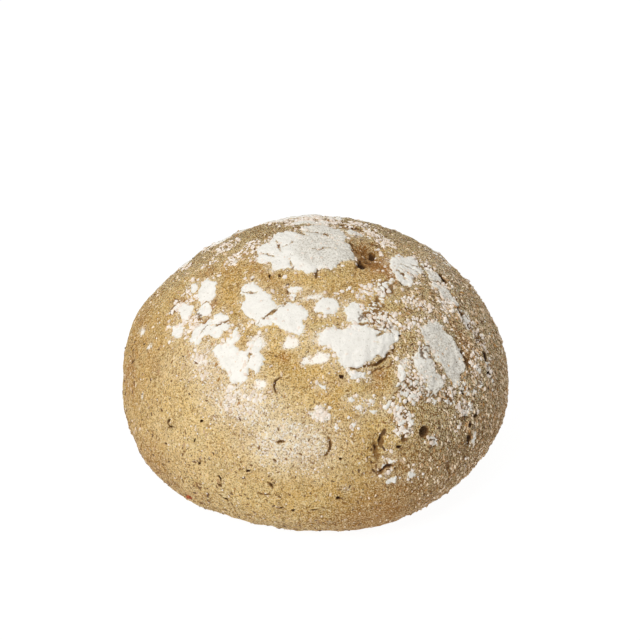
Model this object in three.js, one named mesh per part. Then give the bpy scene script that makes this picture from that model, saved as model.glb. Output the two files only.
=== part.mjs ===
// Gluten-free bread roll: a hand-rounded, flour-dusted roll, baked uncut and free on a flat deck.
// Millimetres, +Z up, origin at the middle of the flat base. The roll's front is towards -Y.
import * as THREE from 'three';
import { mergeVertices } from 'three/addons/utils/BufferGeometryUtils.js';

// Driving dimensions.
const HALF_WIDTH = 50;       // along X, at the widest level
const HALF_DEPTH = 49;       // along Y, at the widest level
const WIDEST_LEVEL = 19;     // height of the widest level over the base
const CROWN_RISE = 39.5;     // from the widest level up to the crown
const BASE_SHARE = 0.7;      // the flat base's half width, as a share of the widest
const FADE_HEIGHT = 5;       // swells fade out over this height, so that the base stays flat

// The mesh starts as a ball of 20 * (BALL_DETAIL + 1)^2 triangles. The ball's polar angles down to
// BASE_ANGLE carry the rounded crust, and the rest carries the flat base.
const BALL_DETAIL = 18;
const BASE_ANGLE = 150;

// How the dough departs from an even dome. Each swell is a soft hump, or a hollow where its rise is
// negative. Its middle lies `around` degrees from +X towards +Y and `down` degrees from the crown,
// where 90 is the widest level and 180 the edge of the base. It reaches `reach` millimetres, or
// `width` across where it is long, and `turn` is how far its length leans uphill from level.
const SWELLS = [
  // The outline: where the dough was tucked under, and where it slumped.
  { name: 'right flank', around: 355, down: 90, reach: 15, rise: 1 },
  { name: 'back slope', around: 75, down: 40, reach: 15, rise: -0.5 },
  { name: 'back left slope', around: 120, down: 45, reach: 15, rise: -0.75 },
  { name: 'left slope', around: 145, down: 55, reach: 15, rise: -1 },
  { name: 'left shoulder', around: 170, down: 75, reach: 12, rise: 0.75 },
  { name: 'left flank', around: 205, down: 115, reach: 15, rise: 1.25 },
  { name: 'left heel', around: 225, down: 130, reach: 12, rise: 0.5 },
  { name: 'front left tuck', around: 250, down: 140, reach: 10, rise: -0.5 },
  { name: 'front right heel', around: 295, down: 140, reach: 12, rise: 0.75 },
  { name: 'right heel', around: 340, down: 110, reach: 12, rise: 0.5 },
  { name: 'back heel', around: 70, down: 120, reach: 18, rise: 0.75 },
  { name: 'back left tuck', around: 130, down: 130, reach: 15, rise: -0.75 },

  // The top: the crown's cap, with the ledge in front of it and the pit beside it.
  { name: 'crown cap', around: 160, down: 5, reach: 10, width: 8, rise: 0.75 },
  { name: 'crown ledge', around: 260, down: 15, reach: 12, width: 4, rise: -0.5 },
  { name: 'crown pit', around: 15, down: 16, reach: 5, rise: -1.5 },
  { name: 'back furrow', around: 60, down: 22, reach: 10, width: 4, rise: -0.5 },

  // The front: the broad swelling, the ledge under it, the blister and the crease lower down.
  { name: 'front swelling', around: 290, down: 35, reach: 12, width: 8, rise: 0.75 },
  { name: 'front ledge', around: 300, down: 45, reach: 8, width: 4, turn: 20, rise: -1 },
  { name: 'left swelling', around: 235, down: 40, reach: 10, rise: 0.5 },
  { name: 'left furrow', around: 205, down: 40, reach: 12, width: 5, turn: 60, rise: -0.5 },
  { name: 'front crease', around: 290, down: 70, reach: 8, width: 4, turn: 90, rise: -1 },
  { name: 'crease lip', around: 300, down: 70, reach: 8, width: 5, turn: 90, rise: 0.5 },
  { name: 'low blister', around: 255, down: 80, reach: 5, rise: 0.5 },

  // The right side: a fold that runs down from the shoulder, with a furrow behind it.
  { name: 'right fold', around: 340, down: 60, reach: 10, width: 4, turn: 70, rise: 1 },
  { name: 'right furrow', around: 350, down: 58, reach: 10, width: 4, turn: 70, rise: -0.75 },
];

const radians = THREE.MathUtils.degToRad;
const { smoothstep } = THREE.MathUtils;

/** The point of the even dome at two angles in radians, before any swell. */
function domePoint(around, down) {
  const level = Math.cos(down);
  const spread = Math.sin(down);
  const share = level >= 0 ? spread : BASE_SHARE + (1 - BASE_SHARE) * spread;
  const rise = level >= 0 ? CROWN_RISE : WIDEST_LEVEL;
  return new THREE.Vector3(
    HALF_WIDTH * share * Math.cos(around),
    HALF_DEPTH * share * Math.sin(around),
    WIDEST_LEVEL + rise * level,
  );
}

/** The direction in which the dough swells at two angles: straight out from the middle. */
function outward(around, down) {
  const spread = Math.sin(down);
  return new THREE.Vector3(spread * Math.cos(around), spread * Math.sin(around), Math.cos(down));
}

/** Readies a swell: its middle on the dome, its long, cross and outward axes, and their reaches. */
function placeSwell({ around, down, reach, width = reach, turn = 0, rise }) {
  const [a, d] = [radians(around), radians(down)];
  const out = outward(a, d);
  const level = new THREE.Vector3(-Math.sin(a), Math.cos(a), 0);
  const uphill = out.clone().cross(level);
  const long = level.clone().multiplyScalar(Math.cos(radians(turn)));
  long.addScaledVector(uphill, Math.sin(radians(turn)));
  const cross = out.clone().cross(long);
  return { middle: domePoint(a, d), rise, axes: [[long, reach], [cross, width], [out, reach]] };
}

const swells = SWELLS.map(placeSwell);

/** How far the dough stands out from the even dome at one of the dome's points. */
function lift(point) {
  let total = 0;
  for (const { middle, rise, axes } of swells) {
    const offset = point.clone().sub(middle);
    let distance = 0;
    for (const [axis, reach] of axes) distance += (offset.dot(axis) / reach) ** 2;
    total += rise * Math.exp(-distance);
  }
  return total * smoothstep(point.z, 0, FADE_HEIGHT);
}

/** The roll's skin at two angles in radians, with its swells. */
function crustPoint(around, down) {
  const point = domePoint(around, down);
  return point.addScaledVector(outward(around, down), lift(point));
}

/** The flat base at a share of its half width. */
function basePoint(around, share) {
  const rim = domePoint(around, Math.PI);
  return new THREE.Vector3(rim.x * share, rim.y * share, 0);
}

/** The roll's closed body: an even ball of triangles, laid over the crust and the base. */
function rollGeometry() {
  const geometry = new THREE.IcosahedronGeometry(1, BALL_DETAIL);
  geometry.deleteAttribute('normal');
  geometry.deleteAttribute('uv');
  const body = mergeVertices(geometry);
  const position = body.getAttribute('position');
  const baseAngle = radians(BASE_ANGLE);
  const direction = new THREE.Vector3();
  for (let i = 0; i < position.count; i += 1) {
    direction.fromBufferAttribute(position, i).normalize();
    const polar = Math.acos(THREE.MathUtils.clamp(direction.z, -1, 1));
    const around = Math.atan2(direction.y, direction.x);
    const point = polar < baseAngle
      ? crustPoint(around, (polar / baseAngle) * Math.PI)
      : basePoint(around, (Math.PI - polar) / (Math.PI - baseAngle));
    position.setXYZ(i, point.x, point.y, point.z);
  }
  body.computeVertexNormals();
  return body;
}

const crust = new THREE.MeshStandardMaterial({ color: '#c0a577', roughness: 0.85, metalness: 0 });
const roll = new THREE.Mesh(rollGeometry(), crust);
roll.name = 'roll';

const group = new THREE.Group();
group.add(roll);

export default group;
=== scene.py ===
"""Gluten-free bread roll: the looks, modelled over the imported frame.

The frame's one solid gives the roll's size and place. This script lays the browned crust over the same
form, with its pores, blisters and creases, and adds what lies on it: caked flour, flour curds, flour
dust, rice grit and bran flecks. Lengths are in millimetres, turned to metres where a mesh is made.
"""

import logging
import math
from dataclasses import dataclass
from enum import Enum

import bmesh
import bpy
import numpy as np
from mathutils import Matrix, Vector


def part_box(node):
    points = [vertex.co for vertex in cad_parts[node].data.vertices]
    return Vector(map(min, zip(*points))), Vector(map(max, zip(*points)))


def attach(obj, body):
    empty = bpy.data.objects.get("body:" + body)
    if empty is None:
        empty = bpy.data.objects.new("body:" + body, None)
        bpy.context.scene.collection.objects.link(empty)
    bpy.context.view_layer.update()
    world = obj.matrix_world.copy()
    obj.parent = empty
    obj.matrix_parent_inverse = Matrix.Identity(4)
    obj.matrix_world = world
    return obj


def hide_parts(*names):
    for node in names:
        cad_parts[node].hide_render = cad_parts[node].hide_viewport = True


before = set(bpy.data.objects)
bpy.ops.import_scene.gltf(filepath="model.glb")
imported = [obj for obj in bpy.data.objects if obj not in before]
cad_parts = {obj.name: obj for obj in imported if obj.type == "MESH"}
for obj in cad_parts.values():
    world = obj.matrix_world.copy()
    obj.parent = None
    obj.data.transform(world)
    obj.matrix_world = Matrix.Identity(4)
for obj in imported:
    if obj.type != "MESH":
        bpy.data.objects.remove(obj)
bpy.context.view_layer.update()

LOG = logging.getLogger("bread_roll")
ROOT = "root"
NODE = "roll"
NODE_WIDTH = 101.36  # the solid's width in millimetres, as the dough below is sized
low_corner, high_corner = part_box(NODE)
MM = (high_corner.x - low_corner.x) / NODE_WIDTH  # metres in one millimetre of the dough

RIGHT_SIDE = (12, 42)  # along X, where the rough right side begins and where it is fully rough
MARK_DEEP = 4  # how far a pore or blister reaches through the skin
DAB_DEEP = 7  # how far a dab of flour does
SHADE_DEEP = 8  # how far a film of powder or a browned place does

Dabs = tuple[tuple[float, ...], ...]  # of each its around, down, length, width and turn, as in a Spot


# ---------------------------------------------------------------------------------------------
# Small tools: colours, nodes and meshes
# ---------------------------------------------------------------------------------------------


def linear(hex_colour: str) -> tuple[float, float, float, float]:
    """Turns an sRGB hex colour to linear light.

    Args:
        hex_colour: a colour such as "#c8a26a".

    Returns:
        Linear red, green and blue, with an alpha of 1.
    """
    channels = [int(hex_colour[i : i + 2], 16) / 255 for i in (1, 3, 5)]
    red, green, blue = (c / 12.92 if c <= 0.04045 else ((c + 0.055) / 1.055) ** 2.4 for c in channels)
    return (red, green, blue, 1.0)


def per_metre(millimetres: float) -> float:
    """The scale of a noise node whose features are about this many millimetres apart."""
    return 1 / (millimetres * MM)


def add_node(
    tree: bpy.types.NodeTree, kind: str, inputs: dict | None = None, **settings
) -> bpy.types.Node:
    """Adds a node with its settings and links.

    Args:
        tree: the tree that gets the node.
        kind: the node's type name.
        inputs: for each input, by name or index, its value, a hex colour, or what feeds it: an output
            socket, or a node whose first output is meant.
        settings: the node's own properties.

    Returns:
        The new node.
    """
    node = tree.nodes.new(kind)
    for name, value in settings.items():
        setattr(node, name, value)
    for key, value in (inputs or {}).items():
        if isinstance(value, bpy.types.Node):
            value = next(output for output in value.outputs if output.enabled)
        if isinstance(value, bpy.types.NodeSocket):
            tree.links.new(value, node.inputs[key])
        else:
            node.inputs[key].default_value = linear(value) if str(value).startswith("#") else value
    return node


def smooth(values: np.ndarray, low: float, high: float) -> np.ndarray:
    """Eases from 0 at low to 1 at high."""
    t = np.clip((values - low) / (high - low), 0, 1)
    return t * t * (3 - 2 * t)


def placed(name: str, data: bpy.types.ID) -> bpy.types.Object:
    """Makes an object at the origin and links it to the scene.

    Args:
        name: the object's name.
        data: the mesh, light or camera that it carries.

    Returns:
        The new object.
    """
    holder = bpy.data.objects.new(name, data)
    bpy.context.scene.collection.objects.link(holder)
    return holder


def mesh_object(
    name: str, points: np.ndarray, faces: np.ndarray, shades: dict[str, np.ndarray]
) -> bpy.types.Object:
    """Makes a smooth-shaded mesh object at the origin.

    Args:
        name: the piece's name.
        points: vertex places in millimetres.
        faces: vertex numbers, one row a face; a triangle in a table of quads repeats its last corner.
        shades: named values, one for each vertex, that the piece's material reads.

    Returns:
        The new object, linked to the scene.
    """
    rows = [list(dict.fromkeys(row)) for row in faces.tolist()]
    mesh = bpy.data.meshes.new(name)
    mesh.from_pydata((points * MM).tolist(), [], rows)
    for label, values in shades.items():
        mesh.attributes.new(label, "FLOAT", "POINT").data.foreach_set("value", values.astype(np.float32))
    mesh.shade_smooth()
    mesh.update()
    return placed(name, mesh)


# ---------------------------------------------------------------------------------------------
# Grain: seeded noise over points in millimetres
# ---------------------------------------------------------------------------------------------


HASHES = (0x9E3779B97F4A7C15, 0xC2B2AE3D27D4EB4F, 0x165667B19E3779F9)  # large odd numbers, one an axis
MIXER = 0xBF58476D1CE4E5B9  # another, which spreads a change in one bit over all of them
OCTAVE_SHIFT = 17.3  # moves each finer layer, so that its cells don't line up with the one above
GAIN = 1.9  # brings the noise to about -1 to 1
SEAT_MARGIN, SEAT_ROOM = 0.15, 0.7  # where in its cell a middle may lie, as shares of the cell
FAR = 9.0  # farther than any middle that counts, in cells


@dataclass(frozen=True)
class Grain:
    """One kind of unevenness, with grains of one size.

    Attributes:
        size: distance between grains, in millimetres.
        seed: picks one pattern of many.
        octaves: how many finer layers lie over the first, each half as strong.
    """

    size: float
    seed: int
    octaves: int = 1

    @staticmethod
    def _scramble(cells: np.ndarray, seed: int) -> np.ndarray:
        """Turns whole-number cells into even random numbers.

        Args:
            cells: whole x, y and z of each cell.
            seed: picks one pattern of many.

        Returns:
            Three random numbers from 0 to 1 for each cell.
        """
        c = cells.astype(np.int64).astype(np.uint64)
        mixed = c[..., 0] * np.uint64(HASHES[0]) + c[..., 1] * np.uint64(HASHES[1])
        mixed += c[..., 2] * np.uint64(HASHES[2]) + np.uint64(seed * 7919 + 13)
        for shift in (31, 29, 32):
            mixed = (mixed ^ (mixed >> np.uint64(shift))) * np.uint64(MIXER)
        parts = [(mixed >> np.uint64(k)) & np.uint64(0xFFFF) for k in (8, 26, 44)]
        return np.stack(parts, -1).astype(float) / 0xFFFF

    def at(self, points: np.ndarray) -> np.ndarray:
        """The noise at each point.

        Args:
            points: places in millimetres.

        Returns:
            Values around 0, mostly between -1 and 1.
        """
        total = np.zeros(len(points))
        for octave in range(self.octaves):
            p = points * (2**octave / self.size) + OCTAVE_SHIFT * octave
            cell = np.floor(p)
            f = p - cell
            ease = f**3 * (f * (f * 6 - 15) + 10)
            for corner in np.ndindex(2, 2, 2):
                step = np.array(corner)
                slope = self._scramble(cell + step, self.seed + octave) * 2 - 1
                share = np.prod(np.where(step == 1, ease, 1 - ease), -1)
                total += share * ((f - step) * slope).sum(-1) * GAIN / 2**octave
        return total

    def shift(self, points: np.ndarray) -> np.ndarray:
        """Three noises at each point, to nudge it sideways."""
        grains = (Grain(self.size, self.seed + 101 * axis, self.octaves) for axis in range(3))
        return np.stack([grain.at(points) for grain in grains], -1)

    def cells(self, points: np.ndarray) -> tuple[np.ndarray, np.ndarray, np.ndarray]:
        """Breaks space into cells round scattered middles, as drying flour cracks.

        Args:
            points: places in millimetres.

        Returns:
            The distance to the nearest border between two cells, in millimetres, the middle of each
            point's cell, and a random number from 0 to 1 for that cell.
        """
        p = points / self.size
        home = np.floor(p)
        first = np.full(len(p), FAR)
        second = np.full(len(p), FAR)
        middle = np.zeros_like(p)
        number = np.zeros(len(p))
        for offset in np.ndindex(3, 3, 3):
            cell = home + np.array(offset) - 1
            spot = self._scramble(cell, self.seed)
            seat = cell + SEAT_MARGIN + SEAT_ROOM * spot
            gap = np.linalg.norm(p - seat, axis=-1)
            nearer = gap < first
            second = np.where(nearer, first, np.minimum(second, gap))
            first = np.where(nearer, gap, first)
            middle[nearer] = seat[nearer]
            number = np.where(nearer, (spot[..., 0] * 7 + spot[..., 1] * 3) % 1, number)
        return (second - first) * self.size / 2, middle * self.size, number


# ---------------------------------------------------------------------------------------------
# The dough: the same form as the frame's solid
# ---------------------------------------------------------------------------------------------


@dataclass(frozen=True)
class Spot:
    """A place on the roll with a long and a cross axis.

    Attributes:
        around: degrees from +X towards +Y.
        down: degrees from the crown; 90 is the widest level and 180 the edge of the flat base.
        length: reach along the long axis, in millimetres.
        width: reach across it.
        turn: how far the long axis leans uphill from level, in degrees.
    """

    around: float
    down: float
    length: float
    width: float
    turn: float = 0

    def frame(self, dough: "Dough") -> tuple[np.ndarray, np.ndarray]:
        """Places the spot on the even dome.

        Args:
            dough: the roll's form.

        Returns:
            The spot's middle, and its long, cross and outward axes as rows.
        """
        around, down, turn = (np.radians(v) for v in (self.around, self.down, self.turn))
        out = dough.outward(around, down)
        level = np.array([-np.sin(around), np.cos(around), 0])
        long = level * np.cos(turn) - np.cross(level, out) * np.sin(turn)
        return dough.dome(around, down), np.stack([long, np.cross(out, long), out])

    def local(self, dough: "Dough", points: np.ndarray) -> np.ndarray:
        """Points of the even dome, measured from the spot's middle along its three axes."""
        middle, axes = self.frame(dough)
        return (points - middle) @ axes.T

    def shares(self, dough: "Dough", points: np.ndarray, deep: float) -> np.ndarray:
        """Points of the even dome as shares of the spot's reach.

        Args:
            dough: the roll's form.
            points: places in millimetres.
            deep: how far the spot reaches along its outward axis, in millimetres.

        Returns:
            Three rows: along, across and outward.
        """
        return (self.local(dough, points) / (self.length, self.width, deep)).T


@dataclass(frozen=True)
class Swell:
    """A soft hump in the dough, or with a negative rise a hollow; its sizes are in millimetres."""

    around: float
    down: float
    reach: float
    rise: float
    width: float = 0
    turn: float = 0

    def lift(self, dough: "Dough", points: np.ndarray) -> np.ndarray:
        """How far the swell lifts each point of the even dome.

        Args:
            dough: the roll's form.
            points: the dome's points.

        Returns:
            Millimetres outwards at each point.
        """
        width = self.width or self.reach
        spot = Spot(self.around, self.down, self.reach, width, self.turn)
        shares = spot.local(dough, points) / np.array([self.reach, width, self.reach])
        return self.rise * np.exp(-(shares**2).sum(-1))


@dataclass(frozen=True)
class Dough:
    """The roll's form as the frame's solid has it, in millimetres.

    Attributes:
        half_width: reach along X at the widest level.
        half_depth: reach along Y at the widest level.
        widest_level: its height over the base.
        crown_rise: from there up to the crown.
        base_share: the base's half width, as a share of the widest.
        fade_height: swells fade out over this height, so that the base stays flat.
        base_angle: how far down the ball the crust reaches, in degrees; the rest is the base.
        swells: how the dough departs from an even dome.
    """

    half_width: float = 50
    half_depth: float = 49
    widest_level: float = 19
    crown_rise: float = 39.5
    base_share: float = 0.7
    fade_height: float = 5
    base_angle: float = 150
    swells: tuple[Swell, ...] = (
        # the outline: where the dough was tucked under, and where it slumped
        Swell(355, 90, 15, 1), Swell(75, 40, 15, -0.5), Swell(120, 45, 15, -0.75), Swell(145, 55, 15, -1),
        Swell(170, 75, 12, 0.75), Swell(205, 115, 15, 1.25), Swell(225, 130, 12, 0.5),
        Swell(250, 140, 10, -0.5), Swell(295, 140, 12, 0.75), Swell(340, 110, 12, 0.5),
        Swell(70, 120, 18, 0.75), Swell(130, 130, 15, -0.75),
        # the top: the crown's cap, its ledge, the pit beside it and the furrow behind
        Swell(160, 5, 10, 0.75, 8), Swell(260, 15, 12, -0.5, 4), Swell(15, 16, 5, -1.5),
        Swell(60, 22, 10, -0.5, 4),
        # the front: the swelling, the ledge under it, the crease and the low blister
        Swell(290, 35, 12, 0.75, 8), Swell(300, 45, 8, -1, 4, 20), Swell(235, 40, 10, 0.5),
        Swell(205, 40, 12, -0.5, 5, 60), Swell(290, 70, 8, -1, 4, 90), Swell(300, 70, 8, 0.5, 5, 90),
        Swell(255, 80, 5, 0.5),
        # the right side: a fold, with a furrow behind it
        Swell(340, 60, 10, 1, 4, 70), Swell(350, 58, 10, -0.75, 4, 70),
    )

    def dome(self, around: np.ndarray, down: np.ndarray) -> np.ndarray:
        """Points of the even dome, before any swell.

        Args:
            around: radians from +X towards +Y.
            down: radians from the crown.

        Returns:
            A place for each pair of angles.
        """
        level, spread = np.cos(down), np.sin(down)
        share = np.where(level >= 0, spread, self.base_share + (1 - self.base_share) * spread)
        rise = np.where(level >= 0, self.crown_rise, self.widest_level)
        x = self.half_width * share * np.cos(around)
        y = self.half_depth * share * np.sin(around)
        return np.stack([x, y, self.widest_level + rise * level], -1)

    @staticmethod
    def outward(around: np.ndarray, down: np.ndarray) -> np.ndarray:
        """The direction in which the dough swells at two angles."""
        return np.stack([np.sin(down) * np.cos(around), np.sin(down) * np.sin(around), np.cos(down)], -1)

    def lift(self, points: np.ndarray) -> np.ndarray:
        """How far the dough stands out from the even dome at the dome's own points."""
        total = sum(swell.lift(self, points) for swell in self.swells)
        return total * smooth(points[..., 2], 0, self.fade_height)


class Skin:
    """The dough's skin at a set of directions from a ball, with the flat base closing it below.

    Attributes:
        form: the dough's own points, in millimetres.
        out: the direction in which the skin rises at each of them.
        around: degrees from +X towards +Y.
        down: degrees from the crown, up to 180 at the edge of the base and on it.
        base: true on the flat base.
    """

    def __init__(self, dough: Dough, directions: np.ndarray) -> None:
        """Lays the directions over the dough.

        Args:
            dough: the roll's form.
            directions: unit vectors, one for each vertex of the ball.
        """
        edge = math.radians(dough.base_angle)
        polar = np.arccos(np.clip(directions[:, 2], -1, 1))
        around = np.arctan2(directions[:, 1], directions[:, 0])
        down = np.minimum(polar / edge, 1) * np.pi
        self.base = polar > edge
        self.form = dough.dome(around, down)
        self.form[self.base] *= ((np.pi - polar[self.base]) / (np.pi - edge))[:, None]
        self.out = dough.outward(around, down)
        self.form += self.out * np.where(self.base, 0, dough.lift(self.form))[:, None]
        self.form[self.base, 2] = 0
        self.around = np.degrees(around) % 360
        self.down = np.degrees(down)

    def right(self) -> np.ndarray:
        """How far each point belongs to the rough right side, from 0 to 1."""
        return smooth(self.form[:, 0], *RIGHT_SIDE)

    def raised(self, heights: np.ndarray) -> np.ndarray:
        """The skin's points with a relief on them, which fades out towards the base.

        Args:
            heights: how far each point rises, in millimetres.

        Returns:
            Points in millimetres, none lower than the base.
        """
        fade = np.where(self.base, 0, smooth(self.form[:, 2], 0, 3))
        points = self.form + self.out * (heights * fade)[:, None]
        points[:, 2] = np.maximum(points[:, 2], 0)
        return points


class Ball:
    """A ball of small squares whose directions are laid over the dough."""

    def __init__(self, rows: int) -> None:
        """Blows up a cube.

        Args:
            rows: rows of squares along each edge of the cube.
        """
        self.mesh = bmesh.new()
        bmesh.ops.create_cube(self.mesh, size=2)
        bmesh.ops.subdivide_edges(self.mesh, edges=self.mesh.edges, cuts=rows - 1, use_grid_fill=True)
        for vert in self.mesh.verts:
            vert.co = [math.tan(c * math.pi / 4) for c in vert.co]

    def directions(self) -> np.ndarray:
        """Where each vertex lies, seen from the ball's middle.

        Returns:
            Unit vectors, in the mesh's own order.
        """
        self.mesh.verts.index_update()
        places = np.array([vert.co for vert in self.mesh.verts])
        return places / np.linalg.norm(places, axis=1, keepdims=True)

    def refine(self, wanted: np.ndarray) -> None:
        """Halves the squares whose corners are wanted.

        Args:
            wanted: true for each vertex that needs finer squares round it.
        """
        edges = [e for e in self.mesh.edges if wanted[e.verts[0].index] and wanted[e.verts[1].index]]
        bmesh.ops.subdivide_edges(self.mesh, edges=edges, cuts=1, use_grid_fill=True)
        odd = [face for face in self.mesh.faces if len(face.verts) > 4]
        bmesh.ops.triangulate(self.mesh, faces=odd)

    def keep(self, wanted: np.ndarray) -> None:
        """Drops the squares that have no wanted corner, and the vertices that then stand alone.

        Args:
            wanted: true for each vertex whose squares stay.
        """
        spare = [face for face in self.mesh.faces if not any(wanted[v.index] for v in face.verts)]
        bmesh.ops.delete(self.mesh, geom=spare, context="FACES")

    def faces(self) -> np.ndarray:
        """Reads the ball's faces.

        Returns:
            Vertex numbers, one row a face; a triangle repeats its last corner.
        """
        self.mesh.verts.index_update()
        rows = ([v.index for v in face.verts] for face in self.mesh.faces)
        return np.array([(row + row[-1:])[:4] for row in rows])


# ---------------------------------------------------------------------------------------------
# What baking did to the crust: blisters, pores and creases
# ---------------------------------------------------------------------------------------------


LIP_RISE, LIP_PLACE, LIP_WIDTH = 0.12, 1.25, 0.3  # shares of a pore's depth and of its reach
GROOVE_WIDTH = 0.3  # half of a blister's groove, in millimetres
# how much painted shade darkens a blister's groove, from 0 to 1
GROOVE_SHADE = 0.95
GROOVE_FADE = (-15, 35)  # degrees outside and inside its ends over which a groove dies out


@dataclass(frozen=True)
class Pore:
    """An open pore, a slit or a crease in the crust, with a low lip round it.

    Attributes:
        spot: where it is, and its half length and half width.
        depth: how deep its middle is, in millimetres.
        shade: how much painted shade darkens it inside, from 0 to 1.
    """

    spot: Spot
    depth: float
    shade: float = 1

    def press(self, dough: Dough, points: np.ndarray) -> tuple[np.ndarray, np.ndarray]:
        """What the pore does to the crust.

        Args:
            dough: the roll's form.
            points: the skin's points near it.

        Returns:
            Its rise, which is negative inside, and its painted shade at each point.
        """
        u, v, w = self.spot.shares(dough, points, MARK_DEEP)
        r = np.sqrt(u**2 + v**2 + w**2)
        bowl = -self.depth * np.clip(1 - r**2, 0, 1)
        lip = LIP_RISE * self.depth * np.exp(-(((r - LIP_PLACE) / LIP_WIDTH) ** 2))
        return bowl + lip, self.shade * smooth(1.15 - r, 0, 0.5)


@dataclass(frozen=True)
class Blister:
    """A low dome in the crust, with a groove round part of its edge that painted shade darkens.

    Attributes:
        spot: where it is, and its half length and half width.
        rise: how high its middle stands, in millimetres.
        groove: how deep the groove is.
        facing: where the groove's middle lies, in degrees from the long axis.
        span: how far the groove runs to each side of that, in degrees.
    """

    spot: Spot
    rise: float
    groove: float
    facing: float
    span: float = 80

    def press(self, dough: Dough, points: np.ndarray) -> tuple[np.ndarray, np.ndarray]:
        """What the blister does to the crust.

        Args:
            dough: the roll's form.
            points: the skin's points near it.

        Returns:
            Its rise and its painted shade at each point.
        """
        u, v, w = self.spot.shares(dough, points, MARK_DEEP)
        r = np.sqrt(u**2 + v**2 + w**2)
        away = np.abs((np.degrees(np.arctan2(v, u)) - self.facing + 180) % 360 - 180)
        width = GROOVE_WIDTH / self.spot.width
        ring = np.exp(-(((r - 1) / width) ** 2)) * smooth(self.span - away, *GROOVE_FADE)
        return self.rise * np.clip(1 - r**2, 0, 1) - self.groove * ring, GROOVE_SHADE * ring


def pore(
    around: float, down: float, length: float, width: float, turn: float, depth: float, shade: float = 1
) -> Pore:
    """A pore from plain numbers."""
    return Pore(Spot(around, down, length, width, turn), depth, shade)


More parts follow.
